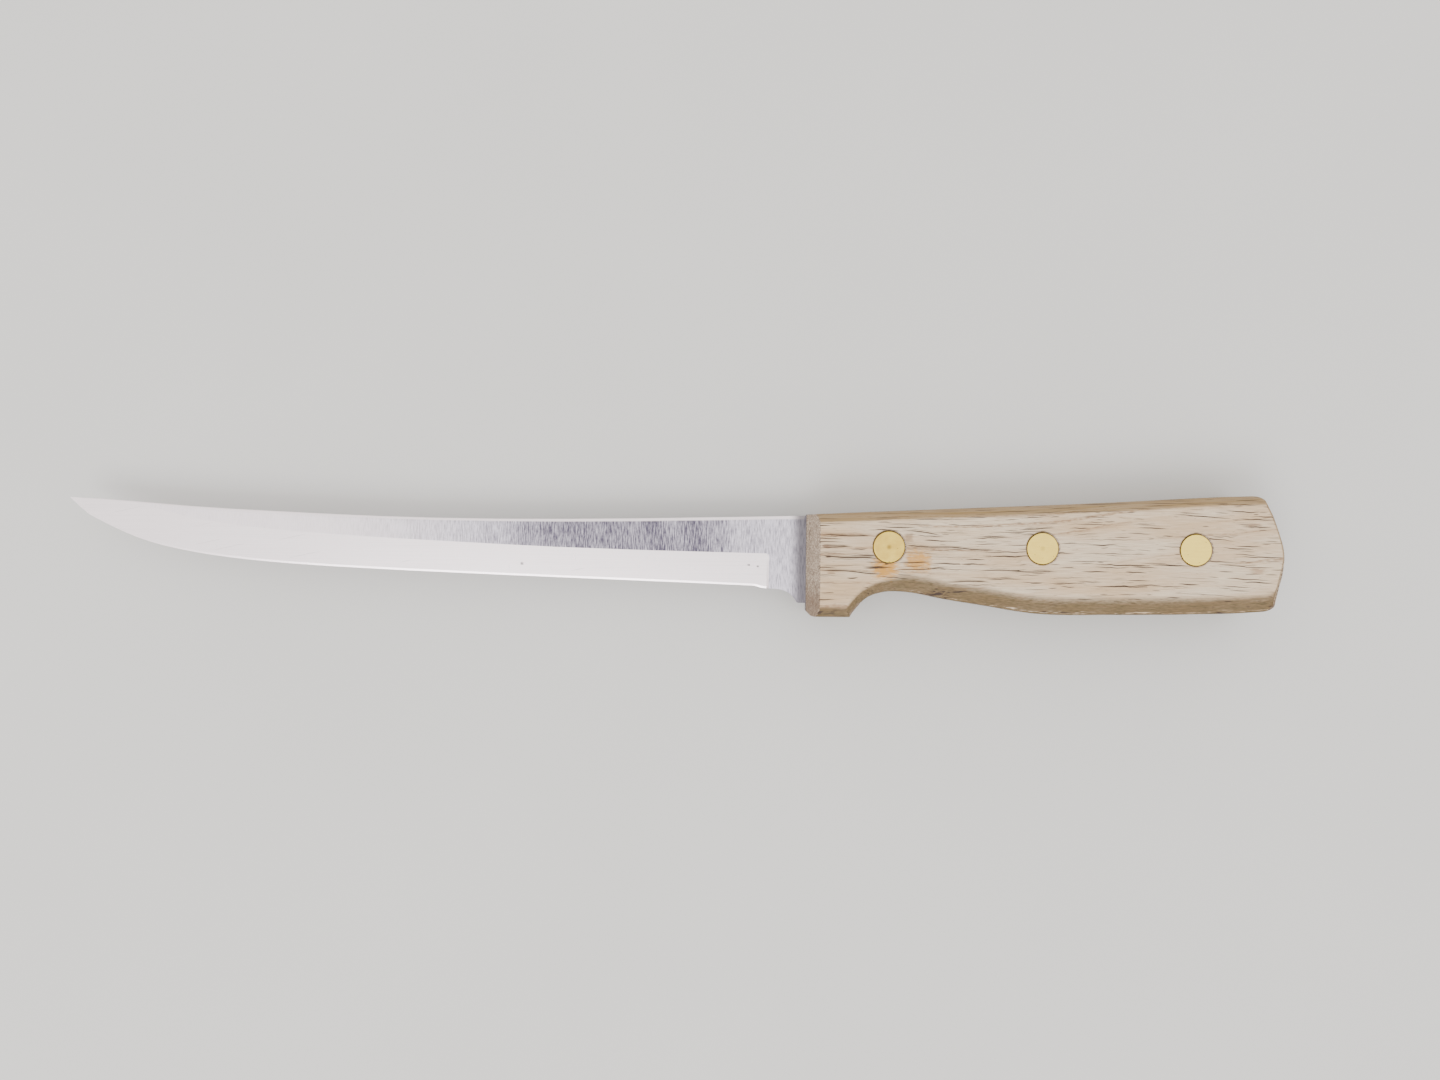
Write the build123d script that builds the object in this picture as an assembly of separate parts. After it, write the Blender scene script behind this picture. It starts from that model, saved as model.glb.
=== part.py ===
"""Fixed-blade boning knife: one steel blade with a full tang, two wooden scales, three two-piece rivets.

The knife lies on its side.  X runs from the point of the blade (-) to the butt (+), Y from the
cutting edge (-) to the spine (+), Z up through the thickness.  The origin is the middle of the
knife's box at the lower face of the handle.

Everything is drawn about the knife's middle plane, with stations measured from the front of the
handle and heights from the line through the three rivets, and moved to the origin when written.
"""

from build123d import *
import os

# ---- driving dimensions, millimetres -----------------------------------------------------------
BLADE_LENGTH = 188.0        # point to handle front
HANDLE_LENGTH = 118.4
TOP_HEIGHT = 13.8           # highest point of the handle, above the rivet line
BOTTOM_DEPTH = 17.8         # lowest point of the handle, below the rivet line

STEEL_THICKNESS = 1.8       # blade stock, and the tang between the scales
FLAT_POLISH = 0.05          # taken off each flat of the blade in front of the handle
SCALE_THICKNESS = 8.0       # one wooden scale

ROUNDOVER = 3.4             # along the top, the belly and the finger notch
BUTT_ROUNDOVER = 1.2
BUTT_CORNER = 2.5           # corners of the butt, seen from the side
FRONT_SLANT = 2.7           # how far the front facet of a scale leans back over its thickness
GUARD_CHAMFER = 1.4         # lower front corner of the handle
UNDER_WOOD = 1.0            # how far the blade's own outline runs on into the tang's

GRIND_AT_HEEL = 8.4         # height of the main bevel, square to the edge
GRIND_MIDWAY = 7.7
GRIND_AT_POINT = 8.9
GRIND_TURN = 0.7            # where the main bevel is lowest, on the way from point to heel
GRIND_EDGE = 0.16           # half thickness that the main bevel would leave at the edge
SHARPENED = 0.8             # width of the sharpened bevel
LAND = 0.03                 # half thickness left at the very edge
PLUNGE_LEAN = 0.55          # the plunge wall leans this much per unit of depth
HEEL_CHIN = 0.5             # radius of the chin in front of the handle

RIVET_STATIONS = {"front": 20.0, "middle": 58.0, "rear": 96.0}
RIVET_HEAD_R = 3.87
RIVET_HEAD_THICKNESS = 2.2
SLEEVE_R = 2.5              # hollow half of the rivet, outside
PIN_R = 1.6                 # solid half, and the bore it is pressed into
SLEEVE_REACH = 3.4          # how far the sleeve passes the middle of the knife
PIN_REACH = 4.8             # how far the pin passes the middle of the knife
BORE_REACH = 5.6            # how far the sleeve's bore passes the middle of the knife
PIN_TIP_CHAMFER = 0.4
SHANK_GAP = 0.1             # radial, round a sleeve in the wood and the tang
HEAD_GAP = 0.1              # radial, round a rivet head in the wood

BEVEL_STATIONS = 24         # places at which a bevel is laid off from the edge
CUT = 40.0                  # how far cutting solids run past the part
PAST_EDGE = 3.0             # how far the bevel surfaces run past the point

# ---- outlines, as (station, height) ------------------------------------------------------------
SPINE = [
    (-188.0, 10.6), (-178.0, 10.15), (-160.0, 8.8), (-135.0, 7.5),
    (-105.0, 6.45), (-73.0, 6.2), (-42.0, 6.65), (0.0, 7.75),
]
SHARP_EDGE = [
    (-188.0, 10.6), (-185.0, 7.5), (-180.3, 4.75), (-170.1, 0.25), (-159.8, -2.45), (-149.6, -4.1),
    (-134.2, -5.6), (-113.8, -6.75), (-83.0, -7.95), (-42.2, -9.25), (-13.4, -10.25),
]
FLARE = [(-13.4, -10.25), (-11.4, -10.72), (-9.6, -10.9)]
PLUNGE = (-9.6, -10.4)      # where the main bevel ends
HEEL = [(-9.6, -10.9), (-7.4, -10.98), (-4.9, -11.6), (-2.1, -14.5)]

# the handle's long sides run on past the butt curve, which cuts them off
HANDLE_TOP = [
    (0.0, 8.0), (18.0, 8.95), (43.0, 10.15), (83.0, 12.2),
    (103.5, 13.45), (113.0, TOP_HEIGHT), (130.0, 13.9),
]
NOTCH = [(10.8, -BOTTOM_DEPTH), (12.7, -15.1), (15.2, -12.75), (18.2, -11.6), (22.0, -11.2)]
BELLY = [
    (22.0, -11.2), (33.5, -12.85), (46.0, -14.8), (56.0, -16.35),
    (70.0, -16.65), (90.0, -16.4), (108.0, -15.8), (130.0, -14.0),
]
BUTT = [
    (115.6, -17.0), (117.5, -8.0), (HANDLE_LENGTH, -1.4),
    (117.4, 3.6), (115.6, 8.4), (112.3, 15.0),
]

HALF_STEEL = STEEL_THICKNESS / 2
HALF_HANDLE = HALF_STEEL + SCALE_THICKNESS
TO_ORIGIN = Pos(
    (BLADE_LENGTH - HANDLE_LENGTH) / 2,
    (BOTTOM_DEPTH - TOP_HEIGHT) / 2,
    HALF_HANDLE,
)


def curve(points, **ends):
    """A smooth edge through outline points."""
    return Spline(*points, **ends)


def closed_face(*edges):
    """A flat face from an outline drawn in order."""
    return make_face(Wire(list(edges)))


def slab(face, low, high):
    """A face drawn in the middle plane, made solid from one height to another."""
    return extrude(Pos(0, 0, low) * face, amount=high - low, dir=(0, 0, 1))


def disc(station, radius, low, high):
    """A round solid on the rivet line."""
    return slab(Pos(station, 0) * Circle(radius), low, high)


def other_side(shape):
    """The same solid on the lower side of the knife."""
    return mirror(shape, about=Plane.XY)


# ---- handle outline ----------------------------------------------------------------------------
def bar_face():
    """The handle's side view before the butt is shaped."""
    top = curve(HANDLE_TOP)
    notch = curve(NOTCH, tangents=[(0.45, 1.0), (1.0, 0.0)])
    belly = curve(BELLY, tangents=[(1.0, 0.0), (1.0, 0.08)])
    guard_low = Vector(GUARD_CHAMFER, -BOTTOM_DEPTH)
    guard_front = Vector(0, GUARD_CHAMFER - BOTTOM_DEPTH)
    return closed_face(
        top,
        Line(top @ 1, belly @ 1),
        belly,
        notch,
        Line(notch @ 0, guard_low),
        Line(guard_low, guard_front),
        Line(guard_front, top @ 0),
    )


def handle_face():
    """The handle's whole side view: the bar cut off along the butt, with rounded corners."""
    butt = curve(BUTT)
    low = butt @ 0
    high = butt @ 1
    above = high + Vector(0, CUT)
    below = low - Vector(0, CUT)
    front_above = Vector(-CUT, above.Y)
    front_below = Vector(-CUT, below.Y)
    front_part = closed_face(
        butt,
        Line(high, above),
        Line(above, front_above),
        Line(front_above, front_below),
        Line(front_below, below),
        Line(below, low),
    )
    whole = (bar_face() & front_part).faces()[0]
    corners = whole.vertices().sort_by(Axis.X)[-2:]
    return fillet(corners, BUTT_CORNER).faces()[0]


# ---- blade -------------------------------------------------------------------------------------
def blank_face():
    """The blade and its tang, which fills the handle's side view, before any grinding."""
    spine = curve(SPINE)
    edge = curve(SHARP_EDGE)
    flare = curve(FLARE, tangents=[edge % 1, (1.0, 0.0)])
    heel = curve(HEEL, tangents=[(1.0, 0.0), (0.55, -1.0)])
    chin_end = Vector(UNDER_WOOD, (heel @ 1).Y)
    spine_end = Vector(UNDER_WOOD, (spine @ 1).Y)
    blade = closed_face(
        edge,
        flare,
        heel,
        Line(heel @ 1, chin_end),
        Line(chin_end, spine_end),
        Line(spine_end, spine @ 1),
        spine,
    )
    chin_corner = blade.vertices().sort_by_distance(heel @ 1)[0]
    blade = fillet(chin_corner, HEEL_CHIN).faces()[0]
    return (blade + handle_face()).faces()[0]


def beside(guide, distance, height):
    """A curve laid off inward from a guide edge.

    distance and height are functions of the way along the guide, 0 at the point and 1 at the heel.
    """
    places = []
    for step in range(BEVEL_STATIONS + 1):
        way = step / BEVEL_STATIONS
        along = guide % way
        inward = Vector(-along.Y, along.X).normalized()
        place = guide @ way + inward * distance(way)
        places.append(Vector(place.X, place.Y, height(way)))
    past_point = places[0] + (places[0] - places[1]).normalized() * PAST_EDGE
    return Spline(past_point, *places)


def bevel_cutter(guide, width, edge_height, inner_height):
    """What grinding takes off the upper side, above a surface that rises inward from a guide edge.

    width is a function of the way along the guide.  The surface runs on past both of its sides,
    and its end at the heel leans back to form the plunge.
    """
    outside = PAST_EDGE / 2
    beyond = 1.15

    def low(way):
        return edge_height - outside * (inner_height - edge_height) / width(way)

    def high(way):
        return edge_height + beyond * (inner_height - edge_height)

    outer = beside(guide, lambda way: -outside, low)
    inner = beside(guide, lambda way: beyond * width(way), high)
    surface = Face.make_surface_from_curves(outer, inner)
    return extrude(surface, amount=2 * STEEL_THICKNESS, dir=(PLUNGE_LEAN, 0, 1))


def grind_height(way):
    """Height of the main bevel: tall at the point, lowest at the turn, a little taller at the heel."""
    to_point = max(0.0, GRIND_TURN - way) / GRIND_TURN
    to_heel = max(0.0, way - GRIND_TURN) / (1 - GRIND_TURN)
    taller_at_point = (GRIND_AT_POINT - GRIND_MIDWAY) * to_point
    taller_at_heel = (GRIND_AT_HEEL - GRIND_MIDWAY) * to_heel**2
    return GRIND_MIDWAY + taller_at_point + taller_at_heel


def make_blade():
    """The stamped blank, drilled, with its flats polished and two bevels ground on each side."""
    flat = HALF_STEEL - FLAT_POLISH
    polish = Pos(-BLADE_LENGTH, 0, flat) * Box(
        BLADE_LENGTH, BLADE_LENGTH, CUT, align=(Align.MIN, Align.CENTER, Align.MIN)
    )
    main_bevel = bevel_cutter(curve(SHARP_EDGE + [PLUNGE]), grind_height, GRIND_EDGE, flat)
    shoulder = GRIND_EDGE + SHARPENED * (flat - GRIND_EDGE) / GRIND_MIDWAY
    sharpened_bevel = bevel_cutter(curve(SHARP_EDGE), lambda way: SHARPENED, LAND, shoulder)
    upper_half = slab(blank_face(), 0, HALF_STEEL) - polish - main_bevel - sharpened_bevel
    for station in RIVET_STATIONS.values():
        upper_half -= disc(station, SLEEVE_R + SHANK_GAP, 0, HALF_STEEL)
    return upper_half + other_side(upper_half)


# ---- scales ------------------------------------------------------------------------------------
def front_facet():
    """What is cut from the front of a scale: a wedge whose face leans back as it rises."""
    wedge = make_face(Polyline(
        (0, 0, HALF_STEEL),
        (FRONT_SLANT, 0, HALF_HANDLE),
        (FRONT_SLANT, 0, HALF_HANDLE + CUT),
        (-CUT, 0, HALF_HANDLE + CUT),
        (-CUT, 0, HALF_STEEL),
        close=True,
    ))
    return extrude(wedge, amount=CUT, both=True, dir=(0, 1, 0))


def make_scale():
    """The upper wooden scale: rounded over, faceted at the front and drilled for the rivets."""
    bar = slab(bar_face(), HALF_STEEL, HALF_HANDLE)
    bar_rim = bar.faces().sort_by(Axis.Z)[-1].edges()
    long_sides = [side for side in bar_rim if side.bounding_box().size.X > GUARD_CHAMFER / 2]
    block = slab(handle_face(), HALF_STEEL, HALF_HANDLE)
    block_rim = block.faces().sort_by(Axis.Z)[-1].edges()
    wood = fillet(long_sides, ROUNDOVER) & fillet(block_rim, BUTT_ROUNDOVER)
    wood -= front_facet()
    for station in RIVET_STATIONS.values():
        wood -= disc(station, SLEEVE_R + SHANK_GAP, HALF_STEEL, HALF_HANDLE)
        wood -= disc(station, RIVET_HEAD_R + HEAD_GAP, HALF_HANDLE - RIVET_HEAD_THICKNESS, HALF_HANDLE)
    return wood


# ---- rivets ------------------------------------------------------------------------------------
def make_rivet_pin(station):
    """The solid half of a rivet: a head in the upper scale and a pin pressed into the sleeve."""
    head = disc(station, RIVET_HEAD_R, HALF_HANDLE - RIVET_HEAD_THICKNESS, HALF_HANDLE)
    pin = disc(station, PIN_R, -PIN_REACH, HALF_HANDLE - RIVET_HEAD_THICKNESS)
    tip = pin.faces().sort_by(Axis.Z)[0].edges()
    return head + chamfer(tip, PIN_TIP_CHAMFER)


def make_rivet_sleeve(station):
    """The hollow half of a rivet: a head in the lower scale and a sleeve through the tang."""
    head = disc(station, RIVET_HEAD_R, -HALF_HANDLE, RIVET_HEAD_THICKNESS - HALF_HANDLE)
    sleeve = disc(station, SLEEVE_R, RIVET_HEAD_THICKNESS - HALF_HANDLE, SLEEVE_REACH)
    return head + sleeve - disc(station, PIN_R, -BORE_REACH, SLEEVE_REACH)


# ---- the knife ---------------------------------------------------------------------------------
near_scale = make_scale()
pieces = {
    "blade": make_blade(),
    "near_scale": near_scale,
    "far_scale": other_side(near_scale),
}
for name, station in RIVET_STATIONS.items():
    pieces[f"{name}_rivet_pin"] = make_rivet_pin(station)
    pieces[f"{name}_rivet_sleeve"] = make_rivet_sleeve(station)

os.makedirs("parts", exist_ok=True)
for name, piece in pieces.items():
    export_step(TO_ORIGIN * piece, f"parts/{name}.step")
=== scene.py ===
"""Boning knife: a ground steel blade, two weathered oak scales and three brass cutler's rivets.

Laid out as a Blender add-on.  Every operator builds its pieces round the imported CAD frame, in metres.
X runs from the point (-) to the butt (+), Y from the cutting edge (-) to the spine (+), Z up.
"""

import math

import bmesh
import bpy
import numpy as np
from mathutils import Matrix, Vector
from mathutils.bvhtree import BVHTree


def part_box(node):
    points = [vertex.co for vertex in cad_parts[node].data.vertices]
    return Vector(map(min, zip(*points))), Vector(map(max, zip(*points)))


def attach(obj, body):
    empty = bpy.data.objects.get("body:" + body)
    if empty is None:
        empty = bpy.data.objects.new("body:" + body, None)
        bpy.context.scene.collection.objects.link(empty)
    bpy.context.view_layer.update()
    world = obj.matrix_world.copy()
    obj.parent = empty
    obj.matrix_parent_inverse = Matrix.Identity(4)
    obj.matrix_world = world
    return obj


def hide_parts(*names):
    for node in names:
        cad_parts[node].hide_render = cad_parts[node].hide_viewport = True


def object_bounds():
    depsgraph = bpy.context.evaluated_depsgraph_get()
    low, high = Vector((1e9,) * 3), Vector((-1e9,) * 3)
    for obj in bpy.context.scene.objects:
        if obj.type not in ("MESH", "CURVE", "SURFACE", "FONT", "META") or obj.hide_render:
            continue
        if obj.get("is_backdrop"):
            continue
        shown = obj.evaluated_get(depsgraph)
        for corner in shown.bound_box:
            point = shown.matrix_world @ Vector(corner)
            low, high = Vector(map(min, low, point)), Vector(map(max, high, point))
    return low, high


bl_info = {
    "name": "Boning knife",
    "version": (1, 0, 0),
    "blender": (4, 5, 0),
    "location": "View3D > Sidebar > Knife",
    "description": "Builds a boning knife with a ground blade, wooden scales and brass rivets",
    "category": "Add Mesh",
}

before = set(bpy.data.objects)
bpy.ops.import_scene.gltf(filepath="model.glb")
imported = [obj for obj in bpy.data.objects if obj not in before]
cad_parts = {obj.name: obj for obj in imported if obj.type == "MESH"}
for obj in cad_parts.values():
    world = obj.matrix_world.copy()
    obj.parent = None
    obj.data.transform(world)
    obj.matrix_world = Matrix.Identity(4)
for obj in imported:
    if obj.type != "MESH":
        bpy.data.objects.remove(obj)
CAD_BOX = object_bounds()

MM = 0.001
UP = Vector((0, 0, 1))
RIVETS = ("front", "middle", "rear")


def srgb(text, alpha=1.0):
    """A hex sRGB colour as linear values."""
    channels = [int(text[i:i + 2], 16) / 255 for i in (1, 3, 5)]
    linear = [c / 12.92 if c <= 0.04045 else ((c + 0.055) / 1.055) ** 2.4 for c in channels]
    return (*linear, alpha)


def colour_property(name, text, description):
    """A colour that a user can change, with a hex default."""
    return bpy.props.FloatVectorProperty(
        name=name, description=description, subtype="COLOR", size=4, min=0, max=1, default=srgb(text)
    )


def length_property(name, millimetres, description):
    """A length that a user can change, kept in metres."""
    return bpy.props.FloatProperty(
        name=name, description=description, default=millimetres * MM, min=0, unit="LENGTH", precision=5
    )


def share_property(name, share, description, most=1.0):
    """A plain number from 0 to most."""
    return bpy.props.FloatProperty(name=name, description=description, default=share, min=0, max=most)


# ---- places taken from the frame ---------------------------------------------------------------
def rivet_centre(name):
    """Where a rivet's axis stands, from its CAD pin."""
    low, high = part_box(f"{name}_rivet_pin")
    return (low + high) / 2


HANDLE_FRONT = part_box("near_scale")[0].x
MIDDLE_Z = (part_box("blade")[0].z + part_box("blade")[1].z) / 2
FACE_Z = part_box("near_scale")[1].z
# in millimetres
RIVET_RADIUS = (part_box("front_rivet_pin")[1].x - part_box("front_rivet_pin")[0].x) / 2 / MM
RIVET_SPACING = (rivet_centre("rear").x - rivet_centre("front").x) / 2 / MM


# ---- properties --------------------------------------------------------------------------------
class BladeSettings(bpy.types.PropertyGroup):
    """Sizes and colours of the steel."""

    column: length_property("Column spacing", 0.6, "Spacing of the mesh columns along the blade")
    spine_round: length_property("Spine rounding", 0.35, "Radius worn on the long edges of the spine")
    sharpened: length_property("Sharpened edge", 0.5, "Width of the sharpened strip along the edge")
    flat_light: colour_property("Light strokes", "#DAD4E0", "Colour of the bright strokes on the flats")
    flat_dark: colour_property("Dark strokes", "#5C5666", "Colour of the dark strokes on the flats")
    bevel: colour_property("Main bevel", "#FFF4F7", "Colour of the ground bevel")
    stroke_width: length_property("Stroke width", 0.28, "Width of one brushed stroke")
    stroke_length: length_property("Stroke length", 2.4, "Length of one brushed stroke")


class ScaleSettings(bpy.types.PropertyGroup):
    """Sizes and colours of the wooden scales."""

    voxel: length_property("Mesh spacing", 0.27, "Spacing of the mesh over the wood")
    relief: length_property("Grain relief", 0.05, "Depth of the raised grain")
    wear: length_property("Edge wear", 0.16, "Depth of the wear along the rounded edges")
    carving: length_property("Lower edge", 0.9, "Further rounding of the lower edge by hand")
    bleached: colour_property("Bleached face", "#D0BEA6", "Colour of the wood that is worn pale")
    warm: colour_property("Warm face", "#BD9F79", "Colour of the less bleached streaks")
    tan: colour_property("Roundovers", "#7C6231", "Colour of the wood along the rounded edges")
    # painted shade and a painted olive reflection on the lower roundovers
    underside_shade: colour_property("Lower roundovers", "#3E3212", "Colour of the soiled lower edges")
    end_grain: colour_property("End grain", "#857363", "Colour of the front facet and the butt")
    pore: colour_property("Pores", "#301F16", "Colour of the open pores")


class RivetSettings(bpy.types.PropertyGroup):
    """Sizes and colours of the rivets."""

    rim: length_property("Head rim", 0.12, "Rounding of a head's rim")
    bright: colour_property("Brass", "#FFE276", "Colour of the clean brass")
    dull: colour_property("Tarnish", "#B58F3E", "Colour of the tarnished brass")


class StageSettings(bpy.types.PropertyGroup):
    """Floor, light and camera."""

    floor: colour_property("Floor", "#CCCBC9", "Colour of the floor")
    lens: bpy.props.FloatProperty(
        name="Lens", description="Focal length", default=27.2, min=1, unit="CAMERA"
    )
    camera_height: length_property("Camera height", 278, "Camera above the knife's middle plane")
    light: share_property("Studio light", 1.0, "Strength of the soft light", most=20)


# ---- meshes ------------------------------------------------------------------------------------
def surface_of(node):
    """A search tree over a CAD node's surface."""
    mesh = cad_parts[node].data
    corners = [vertex.co.copy() for vertex in mesh.vertices]
    return BVHTree.FromPolygons(corners, [tuple(face.vertices) for face in mesh.polygons])


def new_piece(name, mesh, material, slot, *nodes):
    """Puts a mesh in the scene as a piece that stands for CAD nodes."""
    piece = bpy.data.objects.new(name, mesh)
    bpy.context.scene.collection.objects.link(piece)
    mesh.materials.clear()
    mesh.materials.append(material)
    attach(piece, "root")
    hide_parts(*nodes)
    return piece


def welded(node):
    """A copy of a CAD node's mesh with its seams joined."""
    copy = bmesh.new()
    copy.from_mesh(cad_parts[node].data)
    bmesh.ops.remove_doubles(copy, verts=copy.verts, dist=0.0005 * MM)
    return copy


def evaluated(piece):
    """The mesh of an object with its modifiers applied."""
    depsgraph = bpy.context.evaluated_depsgraph_get()
    return bpy.data.meshes.new_from_object(piece.evaluated_get(depsgraph))


# ---- blade -------------------------------------------------------------------------------------
# rows of faces on one side of the blade, from the cutting edge to the spine
SHARPENED_ROWS = 3
BEVEL_ROWS = 10
FLAT_ROWS = 8
ROUND_STEPS = 4
EDGE_HALF = 0.01 * MM       # half thickness left along the cutting edge
PLUNGE = HANDLE_FRONT - 9.5 * MM        # where the bevels end
TANG_CUT = HANDLE_FRONT - 0.3 * MM      # where the ground mesh joins the CAD tang
LAST_STATION = TANG_CUT - 0.02 * MM
SLIP = 0.15 * MM            # a reading that is off by more than this comes from a ray that missed
KNEE = 0.8 * MM             # height above the edge where the bevel's slope is read
HEEL_SHOULDER = 0.06        # behind the plunge, the shares of the height where the rows of the
HEEL_GRIND = 0.48           # sharpened strip and of the bevel go on as plain rows
TANG_CORNER = math.radians(30)          # corners of the tang sharper than this stay crisp


def inside(edge, spine):
    """How far inside the outline the steel is surely met."""
    return min(0.15 * MM, (spine - edge) * 0.1)


class BladeSurface:
    """Reads the ground shape of the blade off its CAD node."""

    def __init__(self):
        self.surface = surface_of("blade")
        self.flat = self.half(HANDLE_FRONT - 3 * MM, 0.0)

    def half(self, x, y):
        """Half thickness at a place, or 0 off the blade."""
        hit = self.surface.ray_cast(Vector((x, y, 1)), -UP)[0]
        return hit.z - MIDDLE_Z if hit else 0.0

    def side(self, x, way):
        """Where the blade's outline lies; way is +1 for the spine and -1 for the edge."""
        start = Vector((x, way, MIDDLE_Z + 0.01 * MM))
        return self.surface.ray_cast(start, Vector((0, -way, 0)))[0].y

    def grind(self, x, edge, spine):
        """Where the main bevel meets the flat, by halving; the spine where the bevel takes it all."""
        above, below = spine - inside(edge, spine), edge
        if self.half(x, above) < self.flat - 0.002 * MM:
            return spine
        for _ in range(24):
            middle = (above + below) / 2
            if self.half(x, middle) > self.flat - 0.001 * MM:
                above = middle
            else:
                below = middle
        return above


def blade_stations(settings):
    """Stations of the mesh columns: dense at the point, the plunge and the heel."""
    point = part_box("blade")[0].x
    spans = [
        (point + 0.05 * MM, point + 2 * MM, settings.column / 6),
        (point + 2 * MM, point + 12 * MM, settings.column / 2),
        (point + 12 * MM, PLUNGE - 5 * MM, settings.column),
        (PLUNGE - 5 * MM, PLUNGE - 0.1 * MM, settings.column / 2),
        (PLUNGE + 0.15 * MM, LAST_STATION, settings.column / 3),
    ]
    stations = []
    for start, stop, step in spans:
        count = max(2, round((stop - start) / step))
        stations.extend(np.linspace(start, stop, count, endpoint=False))
    return np.array(stations + [LAST_STATION])


def without_slips(values, most):
    """Readings with the few that a ray missed at a seam replaced by the middle one of five."""
    padded = np.pad(values, 2, mode="edge")
    middle = np.median([padded[i:i + len(values)] for i in range(5)], axis=0)
    return np.where(np.abs(values - middle) > most, middle, values)


def half_section(x, reading, ground, settings):
    """Places (y, half thickness) up one side of the blade at a station, from the edge to the spine."""
    edge, spine, grind, back, knee, cheek = reading
    height = spine - edge
    if x > PLUNGE:
        shoulder, grind = edge + height * HEEL_SHOULDER, edge + height * HEEL_GRIND
        heights, halves = [edge, spine], [ground.flat, ground.flat]
    else:
        shoulder = edge + min(settings.sharpened, height * 0.12)
        slope = (back - cheek) / (grind - knee)
        heights = [edge, shoulder, grind, spine]
        halves = [EDGE_HALF, cheek - slope * (knee - shoulder), back, back]
        grind = min(max(grind, edge + height * 0.22), spine - height * 0.1)
    rounding = min(settings.spine_round, height * 0.08)
    rows = np.concatenate([
        np.linspace(edge, shoulder, SHARPENED_ROWS, endpoint=False),
        np.linspace(shoulder, grind, BEVEL_ROWS, endpoint=False),
        np.linspace(grind, spine - rounding, FLAT_ROWS),
    ])
    section = list(zip(rows, np.interp(rows, heights, halves)))
    half = section[-1][1]
    rounding_depth = min(rounding, half * 0.8)
    for step in range(1, ROUND_STEPS + 1):
        turn = math.pi / 2 * step / ROUND_STEPS
        across = spine - rounding * (1 - math.sin(turn))
        section.append((across, half - rounding_depth * (1 - math.cos(turn))))
    return section


def blade_rings(settings):
    """One closed ring of places for each station, the same number in each."""
    ground = BladeSurface()
    stations = blade_stations(settings)
    edges = without_slips(np.array([ground.side(x, -1) for x in stations]), SLIP)
    spines = without_slips(np.array([ground.side(x, 1) for x in stations]), SLIP)
    outline = list(zip(stations, edges, spines))
    grinds = without_slips(np.array([ground.grind(*place) for place in outline]), SLIP)
    backs = [ground.half(x, high - inside(low, high)) for x, low, high in outline]
    backs = without_slips(np.array(backs), SLIP / 5)
    knees = edges + np.minimum(KNEE, (spines - edges) * 0.12)
    cheeks = np.array([ground.half(x, y) for x, y in zip(stations, knees)])
    cheeks = without_slips(cheeks, SLIP / 5)
    rings = []
    for x, *reading in zip(stations, edges, spines, grinds, backs, knees, cheeks):
        section = half_section(x, reading, ground, settings)
        rings.append([(x, y, z) for y, z in section] + [(x, y, -z) for y, z in reversed(section)])
    return rings


def build_blade_mesh(settings):
    """The blade as rings of faces, joined to the CAD tang just in front of the handle."""
    rings = blade_rings(settings)
    shape = welded("blade")
    everything = shape.verts[:] + shape.edges[:] + shape.faces[:]
    cut = {"plane_co": (TANG_CUT, 0, 0), "plane_no": (1, 0, 0), "clear_inner": True}
    bmesh.ops.bisect_plane(shape, geom=everything, **cut)
    tang_rim = [e for e in shape.edges if e.is_boundary]
    columns = []
    for ring in rings:
        columns.append([shape.verts.new((x, y, MIDDLE_Z + z)) for x, y, z in ring])
    for left, right in zip(columns, columns[1:]):
        for i in range(len(left)):
            j = (i + 1) % len(left)
            shape.faces.new((left[i], left[j], right[j], right[i]))
    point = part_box("blade")[0].x
    first = rings[0]
    tip = shape.verts.new((point, max(y for _, y, _ in first), MIDDLE_Z))
    for i in range(len(first)):
        shape.faces.new((columns[0][(i + 1) % len(first)], columns[0][i], tip))
    last = columns[-1]
    blade_rim = [shape.edges.get((last[i], last[(i + 1) % len(last)])) for i in range(len(last))]
    bmesh.ops.bridge_loops(shape, edges=blade_rim + tang_rim)
    bmesh.ops.recalc_face_normals(shape, faces=shape.faces)
    for face in shape.faces:
        face.smooth = True
    sharp_rows(shape, columns)
    mesh = bpy.data.meshes.new("blade")
    shape.to_mesh(mesh)
    shape.free()
    return mesh


def sharp_rows(shape, columns):
    """Keeps the grind lines, the shoulders, the plunge and the tang's corners crisp."""
    count = len(columns[0])
    lines = [0, SHARPENED_ROWS, SHARPENED_ROWS + BEVEL_ROWS]
    lines += [count - 1 - row for row in lines]
    for left, right in zip(columns, columns[1:]):
        for row in lines:
            if right[row].co.x < PLUNGE or row in (0, count - 1):
                shape.edges.get((left[row], right[row])).smooth = False
        if left[0].co.x < PLUNGE < right[0].co.x:
            for column in (left, right):
                for i in range(count - 1):
                    shape.edges.get((column[i], column[i + 1])).smooth = False
    for edge in shape.edges:
        behind = min(v.co.x for v in edge.verts) > TANG_CUT - 0.1 * MM
        if behind and len(edge.link_faces) == 2 and edge.calc_face_angle() > TANG_CORNER:
            edge.smooth = False


# ---- scales ------------------------------------------------------------------------------------
def lattice_noise(places, seed):
    """Smooth noise from 0 to 1 at places given in cells, the same for the same seed."""
    cell = np.floor(places).astype(np.int64)
    way = places - cell
    way = way * way * (3 - 2 * way)
    total = np.zeros(len(places))
    for corner in np.ndindex(2, 2, 2):
        x, y, z = (cell + corner).T
        mixed = (x * 73856093) ^ (y * 19349663) ^ (z * 83492791) ^ (seed * 2654435761)
        mixed = (mixed ^ (mixed >> 13)) * 1274126177 & 0x7FFFFFFF
        value = ((mixed ^ (mixed >> 16)) & 0xFFFF) / 0xFFFF
        weight = np.prod(np.where(corner, way, 1 - way), axis=1)
        total += value * weight
    return total


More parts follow.
